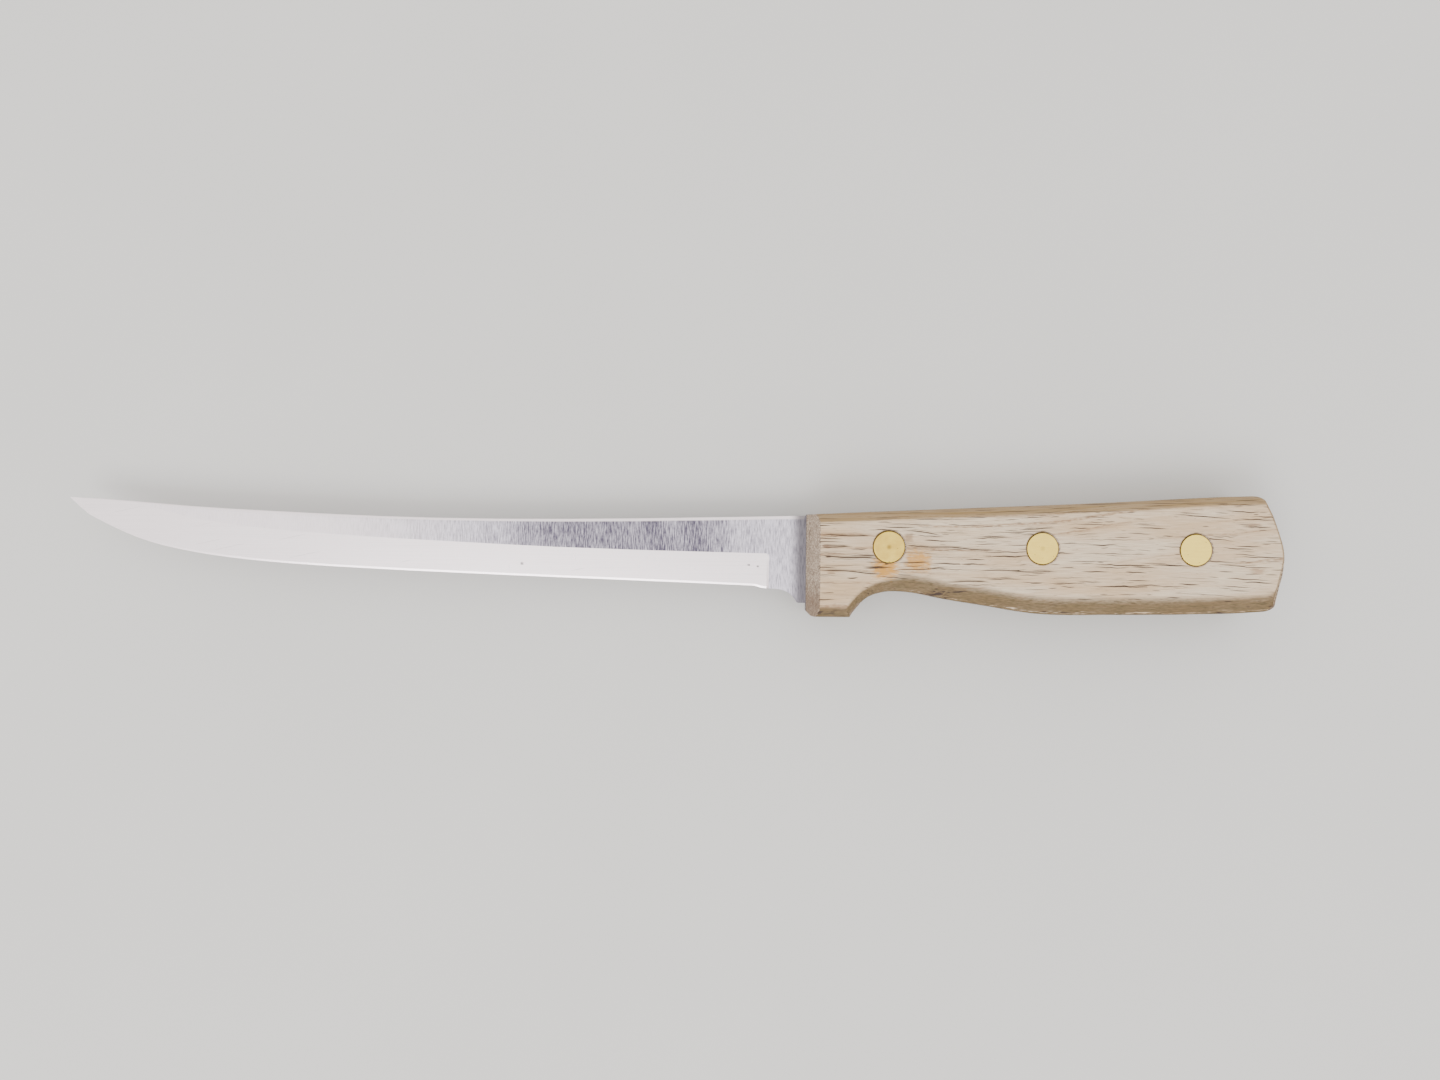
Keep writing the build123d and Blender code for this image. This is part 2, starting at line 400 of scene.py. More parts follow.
def layered_noise(places, seed, layers=3):
    """Noise with finer, weaker noise on top."""
    total = np.zeros(len(places))
    reach = 0.0
    for layer in range(layers):
        total += lattice_noise(places * 2.0 ** layer, seed + layer) / 2 ** layer
        reach += 1 / 2 ** layer
    return total / reach


def smooth_step(low, high, value):
    """0 below low, 1 above high, smooth between."""
    way = np.clip((value - low) / (high - low), 0, 1)
    return way * way * (3 - 2 * way)


# drying cracks along the grain, all in millimetres from the front rivet's centre:
# start, stop, height at the start, rise per millimetre, half width
CRACKS = {
    "near_scale": [
        (-16.9, -3.9, 2.8, 0.0, 0.14),
        (-16.6, -8.6, -0.1, 0.0, 0.15),
        (-16.9, -2.0, -2.3, -0.045, 0.18),
        (-16.9, -1.0, -5.8, -0.055, 0.15),
        (3.6, 27.0, 0.5, -0.045, 0.14),
        (1.0, 15.0, -5.9, 0.08, 0.12),
        (22.5, 42.0, -5.5, -0.015, 0.13),
        (15.0, 25.5, -8.4, 0.0, 0.15),
        (3.8, 13.4, 4.2, -0.12, 0.14),
        (2.2, 10.8, -3.7, 0.0, 0.15),
    ],
    "far_scale": [
        (-16.9, -6.0, 5.2, 0.02, 0.17),
        (-16.9, -4.5, -3.4, 0.0, 0.18),
        (4.2, 30.0, -1.8, 0.03, 0.16),
        (48.0, 66.0, 3.6, -0.04, 0.16),
    ],
}
CRACK_WANDER = 0.14         # how far a crack strays from its straight line
CRACK_WAVE = 2.1            # and over what length, divided by a full turn
CRACK_TAPER = 3.0           # length over which a crack narrows to its ends
CRACK_DEPTH = 0.16
CARVED_WIDTH = 5.4          # the lower edge is rounded further over up to this height above it
CARVED_STATIONS = 240
WORN_FROM = 1.3             # the wood is worn from this distance off the middle plane outwards
TANG_HALF = 0.9             # half the thickness of the steel between the scales
RIVET_BED = (3.9, 4.6)      # the wear comes in between these distances from a rivet's centre


def crack_depth(node, mm):
    """Depth of the drying cracks, 0 to 1, at places in millimetres from the front rivet's centre."""
    depth = np.zeros(len(mm))
    x, y, _ = mm.T
    for start, stop, height, rise, width in CRACKS[node]:
        line = height + rise * (x - start) + CRACK_WANDER * np.sin(x / CRACK_WAVE + height)
        taper = smooth_step(start - 1, start + CRACK_TAPER, x)
        taper = taper * smooth_step(stop, stop - CRACK_TAPER, x)
        depth = np.maximum(depth, taper * smooth_step(2.2 * width, 0, np.abs(y - line)))
    return depth


def carved(node, places, mm):
    """How far the lower edge behind the finger notch is rounded further over, 0 to 1."""
    surface = surface_of(node)
    low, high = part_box(node)
    stations = np.linspace(low.x + 0.5 * MM, high.x - 0.5 * MM, CARVED_STATIONS)
    level = (low.z + high.z) / 2
    lower = []
    for x in stations:
        hit = surface.ray_cast(Vector((x, -1, level)), Vector((0, 1, 0)))[0]
        lower.append(hit.y if hit else low.y)
    above = (places[:, 1] - np.interp(places[:, 0], stations, lower)) / MM
    behind = smooth_step(-6, 6, mm[:, 0])
    return behind * smooth_step(CARVED_WIDTH, 1.0, above)


def even_mesh(node, spacing):
    """A CAD node's solid with its surface divided evenly."""
    source = bpy.data.meshes.new(node)
    shape = welded(node)
    shape.to_mesh(source)
    shape.free()
    helper = bpy.data.objects.new(node + "_helper", source)
    bpy.context.scene.collection.objects.link(helper)
    remesh = helper.modifiers.new("Even mesh", "REMESH")
    remesh.mode = "VOXEL"
    remesh.voxel_size = spacing
    mesh = evaluated(helper)
    bpy.data.objects.remove(helper)
    return mesh


def vertex_rows(mesh, what):
    """A vector of every vertex, its place or its normal, as the rows of an array."""
    values = np.empty(len(mesh.vertices) * 3)
    mesh.vertices.foreach_get(what, values)
    return values.reshape(-1, 3)


def worn_scale_mesh(node, settings, seed):
    """A wooden scale with raised grain, worn edges, chips and drying cracks, from its CAD solid."""
    mesh = even_mesh(node, settings.voxel)
    places = vertex_rows(mesh, "co")
    normals = vertex_rows(mesh, "normal")
    mm = (places - np.array(rivet_centre("front"))) / MM
    outer = np.abs(places[:, 2] - MIDDLE_Z) > WORN_FROM * MM
    level = np.abs(normals[:, 2])
    rounded = smooth_step(0.97, 0.80, level)
    radius = [np.hypot(mm[:, 0] - RIVET_SPACING * i, mm[:, 1]) for i in range(len(RIVETS))]
    away = smooth_step(*RIVET_BED, np.minimum.reduce(radius))
    grain = layered_noise(mm / np.array([9.0, 0.8, 0.8]), seed)
    waves = layered_noise(mm / np.array([11.0, 3.0, 3.0]), seed + 11)
    chips = layered_noise(mm / np.array([7.0, 1.1, 1.1]), seed + 23, layers=2)
    bottom = smooth_step(0.2, 0.7, -normals[:, 1]) * smooth_step(0.98, 0.9, level)
    depth = settings.relief * grain * (0.3 + 0.7 * rounded)
    depth += settings.wear * waves * rounded
    depth += settings.wear * smooth_step(0.60, 0.85, chips) * bottom
    depth += crack_depth(node, mm) * (level > 0.5) * CRACK_DEPTH * MM
    depth *= outer * away
    places -= normals * depth[:, None]
    cut = carved(node, places, mm) * settings.carving * smooth_step(0.2, 0.8, level) * outer
    places[:, 2] -= np.sign(normals[:, 2]) * cut
    mesh.vertices.foreach_set("co", places.ravel())
    mesh.update()
    flatten_hidden_face(mesh)
    return mesh


def flatten_hidden_face(mesh):
    """Replaces the small faces against the tang, where nothing shows, by few large ones."""
    shape = bmesh.new()
    shape.from_mesh(mesh)
    against = {v for v in shape.verts if abs(abs(v.co.z - MIDDLE_Z) - TANG_HALF * MM) < 0.02 * MM}
    hidden = [face for face in shape.faces if against.issuperset(face.verts)]
    bmesh.ops.delete(shape, geom=hidden, context="FACES")
    rims = [e for e in shape.edges if e.is_boundary]
    bmesh.ops.triangle_fill(shape, edges=rims, use_beauty=False)
    bmesh.ops.recalc_face_normals(shape, faces=shape.faces)
    for face in shape.faces:
        face.smooth = True
    shape.to_mesh(mesh)
    shape.free()


# ---- rivets ------------------------------------------------------------------------------------
TURN_STEPS = 96
RIM_STEPS = 4
TURNED_CORNER = math.radians(40)        # corners sharper than this stay crisp


def turned_mesh(name, profile, centre):
    """A closed turned solid from a profile of (radius, height), with its ends on the axis."""
    shape = bmesh.new()
    rings = []
    for radius, height in profile[1:-1]:
        ring = []
        for step in range(TURN_STEPS):
            turn = 2 * math.pi * step / TURN_STEPS
            ring.append(shape.verts.new((
                centre.x + radius * math.cos(turn),
                centre.y + radius * math.sin(turn),
                height,
            )))
        rings.append(ring)
    for lower, upper in zip(rings, rings[1:]):
        for i in range(TURN_STEPS):
            j = (i + 1) % TURN_STEPS
            shape.faces.new((lower[i], lower[j], upper[j], upper[i]))
    for ring, (_, height) in ((rings[0], profile[0]), (rings[-1], profile[-1])):
        end = shape.verts.new((centre.x, centre.y, height))
        for i in range(TURN_STEPS):
            shape.faces.new((ring[i], ring[(i + 1) % TURN_STEPS], end))
    bmesh.ops.recalc_face_normals(shape, faces=shape.faces)
    for face in shape.faces:
        face.smooth = True
    for edge in shape.edges:
        if edge.calc_face_angle() > TURNED_CORNER:
            edge.smooth = False
    mesh = bpy.data.meshes.new(name)
    shape.to_mesh(mesh)
    shape.free()
    return mesh


def head_profile(radius, outside, way, thickness, rim, dish):
    """Outer face and side of a rivet head, from its middle out; way is +1 if it faces up."""
    profile = [(0.0, outside - way * dish)]
    for share in (0.25, 0.5, 0.75, 0.9):
        reach = (radius - rim) * share
        profile.append((reach, outside - way * dish * (1 - share ** 2)))
    for step in range(RIM_STEPS + 1):
        turn = math.pi / 2 * step / RIM_STEPS
        reach = radius - rim * (1 - math.sin(turn))
        profile.append((reach, outside - way * rim * (1 - math.cos(turn))))
    profile.append((radius, outside - way * thickness))
    return profile


# sizes of a rivet in millimetres; the ends are heights above the knife's middle plane
HEAD_THICKNESS = 2.2
PIN_RADIUS = 1.6
PIN_END = -4.8
PIN_CHAMFER = 0.4
SLEEVE_RADIUS = 2.5
SLEEVE_END = 3.4
BORE_END = -5.6
DISH = 0.03                 # how far a head is hollowed in its middle


def pin_mesh(name, centre, settings):
    """The solid half: a head in the near scale and a pin with a chamfered tip."""
    radius = (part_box(name)[1].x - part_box(name)[0].x) / 2
    profile = head_profile(radius, FACE_Z, 1, HEAD_THICKNESS * MM, settings.rim, DISH * MM)
    end = MIDDLE_Z + PIN_END * MM
    tip = PIN_CHAMFER * MM
    profile += [
        (PIN_RADIUS * MM, FACE_Z - HEAD_THICKNESS * MM),
        (PIN_RADIUS * MM, end + tip),
        (PIN_RADIUS * MM - tip, end),
        (0.0, end),
    ]
    return turned_mesh(name, profile, centre)


def sleeve_mesh(name, centre, settings):
    """The hollow half: a head in the far scale and a bored sleeve."""
    radius = (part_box(name)[1].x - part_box(name)[0].x) / 2
    profile = head_profile(radius, 0.0, -1, HEAD_THICKNESS * MM, settings.rim, DISH * MM)
    profile += [
        (SLEEVE_RADIUS * MM, HEAD_THICKNESS * MM),
        (SLEEVE_RADIUS * MM, MIDDLE_Z + SLEEVE_END * MM),
        (PIN_RADIUS * MM, MIDDLE_Z + SLEEVE_END * MM),
        (PIN_RADIUS * MM, MIDDLE_Z + BORE_END * MM),
        (0.0, MIDDLE_Z + BORE_END * MM),
    ]
    return turned_mesh(name, profile, centre)


# ---- materials ---------------------------------------------------------------------------------
def add(tree, kind, inputs=(), output=0, **settings):
    """Adds a node with its settings, gives its inputs values or links, and returns one output."""
    made = tree.nodes.new("ShaderNode" + kind)
    for name, value in settings.items():
        setattr(made, name, value)
    for name, value in inputs.items() if isinstance(inputs, dict) else enumerate(inputs):
        if isinstance(value, bpy.types.NodeSocket):
            tree.links.new(value, made.inputs[name])
        else:
            made.inputs[name].default_value = value
    return made.outputs[output] if made.outputs else made


def new_material(name):
    """An empty material: its tree and its Principled shader's inputs."""
    material = bpy.data.materials.new(name)
    material.use_nodes = True
    tree = material.node_tree
    tree.nodes.clear()
    surface = add(tree, "BsdfPrincipled")
    add(tree, "OutputMaterial", {"Surface": surface})
    return material, tree, surface.node.inputs


def place_in_mm(tree, origin=(0, 0, 0)):
    """The place on the object in millimetres from an origin, as a vector and as x, y, z."""
    position = add(tree, "TexCoord", output="Object")
    moved = add(tree, "VectorMath", (position, tuple(origin)), operation="SUBTRACT")
    place = add(tree, "VectorMath", {0: moved, "Scale": 1 / MM}, operation="SCALE")
    return (place, *add(tree, "SeparateXYZ", [place]).node.outputs)


def slits(tree, along, across, cell, half, keep, strength, seed):
    """Thin pointed marks, at most one to a cell: strength in a mark, 0 outside.

    The cell and the half size of a mark are (length, height) in millimetres, and keep is the share of
    the cells that have a mark.
    """
    x = add(tree, "Math", (along, 1 / cell[0], seed), operation="MULTIPLY_ADD")
    y = add(tree, "Math", (across, 1 / cell[1], seed * 1.7), operation="MULTIPLY_ADD")
    here = add(tree, "CombineXYZ", (x, y))
    cells = add(tree, "TexVoronoi", {"Vector": here, "Scale": 1.0}, voronoi_dimensions="2D")
    chance, middle = cells.node.outputs[1:3]
    most = [half[0] / cell[0], half[1] / cell[1], 1.0]
    sizes = [[share * part for part in most] for share in (0.7, 0.3)]
    size = add(tree, "VectorMath", (chance, *sizes), operation="MULTIPLY_ADD")
    offset = add(tree, "VectorMath", (here, middle), operation="SUBTRACT")
    share = add(tree, "VectorMath", (offset, size), operation="DIVIDE")
    way, off, _ = add(tree, "SeparateXYZ", [share]).node.outputs
    off = add(tree, "Math", [off], operation="ABSOLUTE")
    away = add(tree, "Math", (way, way, off), operation="MULTIPLY_ADD")
    luck = add(tree, "SeparateXYZ", [chance], output=2)
    kept = add(tree, "MapRange", (luck, keep, keep - 0.1, 0, strength))
    return add(tree, "MapRange", (away, 1.0, 0.55, 0, kept), interpolation_type="SMOOTHSTEP")


def drying_crack(tree, x, y, crack):
    """One drying crack as a thin line: 1 in the crack, 0 outside."""
    start, stop, height, rise, width = crack
    phase = add(tree, "Math", (x, 1 / CRACK_WAVE, height), operation="MULTIPLY_ADD")
    sway = add(tree, "Math", [phase], operation="SINE")
    straight = add(tree, "Math", (x, -rise, rise * start - height), operation="MULTIPLY_ADD")
    line = add(tree, "Math", (sway, -CRACK_WANDER, straight), operation="MULTIPLY_ADD")
    off = add(tree, "Math", [add(tree, "Math", (y, line))], operation="ABSOLUTE")
    back = add(tree, "MapRange", (x, stop, stop - CRACK_TAPER), interpolation_type="SMOOTHSTEP")
    span = (x, start - 1, start + CRACK_TAPER, 0, back)
    taper = add(tree, "MapRange", span, interpolation_type="SMOOTHSTEP")
    share = add(tree, "Math", (off, add(tree, "Math", (taper, 0.001))), operation="DIVIDE")
    return add(tree, "MapRange", (share, width, width * 0.5), interpolation_type="SMOOTHSTEP")


def blot(tree, x, y, centre, size, ragged, strength):
    """A soft ragged patch: strength in its middle, 0 outside; centre and half size in millimetres."""
    here = add(tree, "CombineXYZ", (x, y))
    offset = add(tree, "VectorMath", (here, (*centre, 0)), operation="SUBTRACT")
    share = add(tree, "VectorMath", (offset, (*size, 1)), operation="DIVIDE")
    squared = add(tree, "VectorMath", (share, share), operation="MULTIPLY")
    away = add(tree, "VectorMath", [squared], output=1, operation="LENGTH")
    edge = add(tree, "Math", (ragged, 3.0, away), operation="MULTIPLY_ADD")
    return add(tree, "MapRange", (edge, 2.9, 1.5, 0, strength), interpolation_type="SMOOTHSTEP")


# larger pits in the steel: centre from the handle's front and the rivets' line, and half size, in mm
PITS = [
    ((-72.3, -5.2), (0.42, 0.38)),
    ((-14.5, -5.0), (0.35, 0.3)),
    ((-12.2, -5.3), (0.35, 0.25)),
]


def brushed_stainless(settings):
    """Stainless blade steel, rolled flats brushed across the blade and bevels ground finer.

    It gives grey-violet flats with short upright strokes, and paler, smoother bevels with a few fine
    scratches.  Real brush lines are under 0.1 mm wide and would hardly show, so they are drawn wider.
    """
    material, tree, shader = new_material("brushed_stainless")
    origin = (HANDLE_FRONT, rivet_centre("front").y, MIDDLE_Z)
    place, x, y, _ = place_in_mm(tree, origin)
    level = add(tree, "SeparateXYZ", [add(tree, "TexCoord", output="Normal")], output="Z")
    upright = add(tree, "Math", [level], operation="ABSOLUTE")
    flat = add(tree, "MapRange", (upright, 0.9968, 0.9990), interpolation_type="SMOOTHSTEP")
    # each noise has cells of a size in mm along X, Y and Z and a number of finer layers
    cells = {
        "strokes": ((settings.stroke_width / MM, settings.stroke_length / MM, 50.0), 1.0),
        "specks": ((0.3, 0.55, 50.0), 1.0),
        "patches": ((5.0, 14.0, 50.0), 2.0),
        "hair": ((40.0, 0.12, 50.0), 1.0),
    }
    noise = {}
    for name, (cell, detail) in cells.items():
        sized = add(tree, "VectorMath", (place, cell), operation="DIVIDE")
        inputs = {"Vector": sized, "W": len(noise), "Scale": 1.0, "Detail": detail}
        noise[name] = add(tree, "TexNoise", inputs, noise_dimensions="4D")
    # painted shade darkens the flats in the middle of the blade, and a painted reflection makes them
    # paler towards the point
    shade_from_point = add(tree, "MapRange", (x, -92, -60, 0, 0.26), interpolation_type="SMOOTHSTEP")
    painted_middle_shade = add(tree, "MapRange", (x, -10, -28, 0, shade_from_point), interpolation_type="SMOOTHSTEP")
    painted_point_light = add(tree, "MapRange", (x, -76, -128, 0, 0.82), interpolation_type="SMOOTHSTEP")
    share = add(tree, "Math", (noise["patches"], 0.35, noise["strokes"]), operation="MULTIPLY_ADD")
    share = add(tree, "Math", (noise["specks"], 0.25, share), operation="MULTIPLY_ADD")
    share = add(tree, "Math", (share, painted_middle_shade), operation="SUBTRACT")
    share = add(tree, "MapRange", (share, 0.42, 0.90))
    flat_colour = settings.flat_dark
    for cover, over in [(share, settings.flat_light), (painted_point_light, settings.bevel)]:
        inputs = {0: cover, 6: flat_colour, 7: over}
        flat_colour = add(tree, "Mix", inputs, output=2, data_type="RGBA")
    lean = add(tree, "Math", (y, 0.35, x), operation="MULTIPLY_ADD")
    rise = add(tree, "Math", (x, -0.22, y), operation="MULTIPLY_ADD")
    scratch = slits(tree, lean, rise, (21.0, 6.0), (6.0, 0.12), 0.4, 0.25, 4.0)
    pits = slits(tree, x, y, (14.0, 9.0), (0.25, 0.2), 0.12, 0.6, 11.0)
    for centre, size in PITS:
        pit = blot(tree, x, y, centre, size, noise["specks"], 0.8)
        pits = add(tree, "Math", (pits, pit), operation="MAXIMUM")
    polished = add(tree, "MapRange", (noise["hair"], 0.45, 0.75, 0, 0.12))
    # painted shade: the steel is darkened within a few millimetres of the handle, standing in for the
    # handle's shadow and its dark reflection
    painted_handle_shade = add(tree, "MapRange", (x, -4.6, -1.2, 0, 0.8), interpolation_type="SMOOTHSTEP")
    tang = add(tree, "MapRange", (x, -0.1, 0.3, 0, 0.55))
    colour = settings.bevel
    for cover, over in [
        (polished, settings.flat_dark),
        (scratch, settings.flat_dark),
        (flat, flat_colour),
        (pits, srgb("#4C4644")),
        (painted_handle_shade, srgb("#454144")),
        (tang, srgb("#857A6C")),
    ]:
        colour = add(tree, "Mix", {0: cover, 6: colour, 7: over}, output=2, data_type="RGBA")
    tree.links.new(colour, shader["Base Color"])
    shader["Metallic"].default_value = 1.0
    rough = add(tree, "Math", (flat, 0.12, 0.24), operation="MULTIPLY_ADD")
    rough = add(tree, "Math", (noise["strokes"], 0.12, rough), operation="MULTIPLY_ADD")
    tree.links.new(rough, shader["Roughness"])
    height = add(tree, "Math", (noise["strokes"], flat), operation="MULTIPLY")
    height = add(tree, "Math", (height, scratch), operation="SUBTRACT")
    height = add(tree, "Math", (height, pits), operation="SUBTRACT")
    bump = add(tree, "Bump", {"Height": height, "Strength": 0.3, "Distance": 0.02 * MM})
    tree.links.new(bump, shader["Normal"])
    return material


# open pores of the oak, from the longest to the finest: cell and half size in mm, share, strength.
# A real pore is 0.2 to 0.3 mm wide; the widest are drawn up to 0.4 mm, or they would hardly show.
PORES = [
    ((22.0, 1.8), (9.4, 0.2), 0.85, 1.0),
    ((13.0, 1.5), (5.4, 0.18), 0.8, 1.0),
    ((6.5, 1.2), (2.4, 0.14), 0.5, 0.8),
    ((3.2, 0.7), (1.0, 0.07), 0.45, 0.4),
]


def weathered_oak(node, settings, seed, stains):
    """Oak, sawn, rounded over and left bare: washed and handled until its faces bleached.

    It gives a dry pale face crossed by dark open pores, and tan rounded edges that kept their colour.
    Real fibres are a few hundredths of a millimetre wide and are drawn as streaks of 0.14 mm.
    """
    material, tree, shader = new_material(f"weathered_oak_{node}")
    place, x, y, z = place_in_mm(tree, rivet_centre("front"))
    normal = add(tree, "TexCoord", output="Normal")
    toward_x, toward_y, toward_z = add(tree, "SeparateXYZ", [normal]).node.outputs
    upright = add(tree, "Math", [toward_z], operation="ABSOLUTE")
    # each noise has cells of a size in mm along X, Y and Z and a number of finer layers
    cells = {
        "blur": ((26.0, 4.0, 4.0), 2.0),
        "bend": ((60.0, 40.0, 40.0), 1.0),
        "wobble": ((3.0, 6.0, 6.0), 1.0),
        "fibres": ((5.0, 0.14, 0.14), 2.0),
        "speckle": ((1.4, 0.3, 0.3), 2.0),
        "weave": ((0.7, 0.4, 0.4), 3.0),
        "lines": ((7.0, 0.4, 0.4), 1.0),
    }
    noise = {}
    for name, (cell, detail) in cells.items():
        sized = add(tree, "VectorMath", (place, cell), operation="DIVIDE")
        inputs = {"Vector": sized, "W": seed + len(noise), "Scale": 1.0, "Detail": detail}
        noise[name] = add(tree, "TexNoise", inputs, noise_dimensions="4D")
    # the pores lie in sheets that lean across the knife's thickness
    sheet = add(tree, "Math", (z, -1.0, y), operation="MULTIPLY_ADD")
    sheet = add(tree, "Math", (noise["bend"], 6.0, sheet), operation="MULTIPLY_ADD")
    sheet = add(tree, "Math", (noise["wobble"], 0.55, sheet), operation="MULTIPLY_ADD")
    # behind the middle rivet the yearly rings rise towards the butt
    tilt = add(tree, "MapRange", (x, 28, 60, 0, -0.14), interpolation_type="SMOOTHSTEP")
    past = add(tree, "Math", (x, -RIVET_SPACING))
    ring_height = add(tree, "Math", (past, tilt, sheet), operation="MULTIPLY_ADD")
    ring_place = add(tree, "CombineXYZ", (x, ring_height))
    sized = add(tree, "VectorMath", (ring_place, (90.0, 1.5, 1.0)), operation="DIVIDE")
    inputs = {"Vector": sized, "W": seed + 7, "Scale": 1.0, "Detail": 2.0}
    rings = add(tree, "TexNoise", inputs, noise_dimensions="4D")

    pores = 0.0
    for step, (cell, half, keep, strength) in enumerate(PORES):
        mark = slits(tree, x, sheet, cell, half, keep, strength, seed + 1.3 + 6.4 * step)
        pores = add(tree, "Math", (pores, mark), operation="MAXIMUM")
    for crack in CRACKS[node]:
        pores = add(tree, "Math", (pores, drying_crack(tree, x, y, crack)), operation="MAXIMUM")
    ends = add(tree, "Math", [toward_x], operation="ABSOLUTE")
    along_grain = add(tree, "MapRange", (ends, 0.75, 0.45), interpolation_type="SMOOTHSTEP")
    pores = add(tree, "Math", (pores, along_grain), operation="MULTIPLY")
    # where a sheet lies along the surface, its pores show as separate thin lines
    parted = add(tree, "MapRange", (noise["lines"], 0.46, 0.58), interpolation_type="SMOOTHSTEP")
    parted = add(tree, "MapRange", (toward_y, -0.08, -0.3, 1, parted), interpolation_type="SMOOTHSTEP")
    pores = add(tree, "Math", (pores, parted), operation="MULTIPLY")

    streak = add(tree, "MapRange", (noise["speckle"], 0.35, 0.62, 0.2, 0.85))
    streak = add(tree, "MapRange", (rings, 0.55, 0.65, 0, streak), interpolation_type="SMOOTHSTEP")
    edge_ragged = add(tree, "Math", (noise["blur"], 0.12, upright), operation="MULTIPLY_ADD")
    kept_tan = add(tree, "MapRange", (rings, 0.3, 0.7, 0.95, 0.6))
    span = (edge_ragged, 1.048, 0.95, 0, kept_tan)
    rounded = add(tree, "MapRange", span, interpolation_type="SMOOTHSTEP")
    # painted shade, with a painted olive reflection, in blotches on the roundovers that face the
    # cutting edge
    shaded = add(tree, "MapRange", (noise["speckle"], 0.3, 0.65, 1.0, 0.62))
    shaded = add(tree, "MapRange", (toward_y, -0.06, -0.36, 0, shaded), interpolation_type="SMOOTHSTEP")
    front_facet = add(tree, "MapRange", (toward_x, -0.12, -0.28), interpolation_type="SMOOTHSTEP")
    butt = add(tree, "MapRange", (toward_x, 0.55, 0.8), interpolation_type="SMOOTHSTEP")
    end_share = add(tree, "Math", (front_facet, butt), operation="MAXIMUM")
    lean = add(tree, "Math", (y, x))
    down = add(tree, "Math", (z, -1.0), operation="MULTIPLY")
    rise = add(tree, "Math", (y, 0.6, down), operation="MULTIPLY_ADD")
    sawn_place = add(tree, "CombineXYZ", (lean, rise))
    sized = add(tree, "VectorMath", (sawn_place, (2.4, 0.2, 1.0)), operation="DIVIDE")
    inputs = {"Vector": sized, "W": seed + 19, "Scale": 1.0, "Detail": 2.0}
    sawn = add(tree, "TexNoise", inputs, noise_dimensions="4D")
    end_colour = settings.end_grain
    for cover, over in [
        (add(tree, "MapRange", (noise["weave"], 0.42, 0.62)), srgb("#C2B3A0")),
        (add(tree, "MapRange", (sawn, 0.50, 0.62, 0, 0.8)), srgb("#463A30")),
        (add(tree, "MapRange", (y, -8.5, -13.5, 0, 0.6)), srgb("#5C4534")),
    ]:
        inputs = {0: cover, 6: end_colour, 7: over}
        end_colour = add(tree, "Mix", inputs, output=2, data_type="RGBA")
    # dirt gathers in the joint round each rivet, and the rivets stand at even steps
    ahead = add(tree, "Math", (x, RIVET_SPACING / 2))
    nearest = add(tree, "Math", (ahead, RIVET_SPACING), operation="SNAP")
    from_rivet = add(tree, "CombineXYZ", (add(tree, "Math", (x, nearest), operation="SUBTRACT"), y))
    radius = add(tree, "VectorMath", [from_rivet], output=1, operation="LENGTH")
    joint = add(tree, "MapRange", (radius, RIVET_RADIUS + 0.22, RIVET_RADIUS + 0.06, 0, 0.6))

    layers = [
        (add(tree, "MapRange", (noise["blur"], 0.38, 0.68, 0, 0.8)), settings.warm),
        (streak, srgb("#86674A")),
        (rounded, settings.tan),
        (shaded, settings.underside_shade),
        (end_share, end_colour),
        (add(tree, "MapRange", (noise["fibres"], 0.38, 0.72, 0, 0.52)), srgb("#86694C")),
    ]
    for centre, size, tint, strength in stains:
        patch = blot(tree, x, y, centre, size, noise["speckle"], strength)
        seen = add(tree, "MapRange", (upright, 0.7, 0.9, 0, patch))
        layers.append((seen, srgb(tint)))
    layers += [(pores, settings.pore), (joint, srgb("#5A4122"))]
    colour = settings.bleached
    for cover, over in layers:
        colour = add(tree, "Mix", {0: cover, 6: colour, 7: over}, output=2, data_type="RGBA")
    tree.links.new(colour, shader["Base Color"])
    rough = add(tree, "Math", (rounded, -0.14, 0.85), operation="MULTIPLY_ADD")
    tree.links.new(rough, shader["Roughness"])
    height = add(tree, "Math", (noise["fibres"], 0.4), operation="MULTIPLY")
    height = add(tree, "Math", (height, pores), operation="SUBTRACT")
    height = add(tree, "Math", (noise["weave"], end_share, height), operation="MULTIPLY_ADD")
    bump = add(tree, "Bump", {"Height": height, "Strength": 0.6, "Distance": 0.12 * MM})
    tree.links.new(bump, shader["Normal"])
    return material


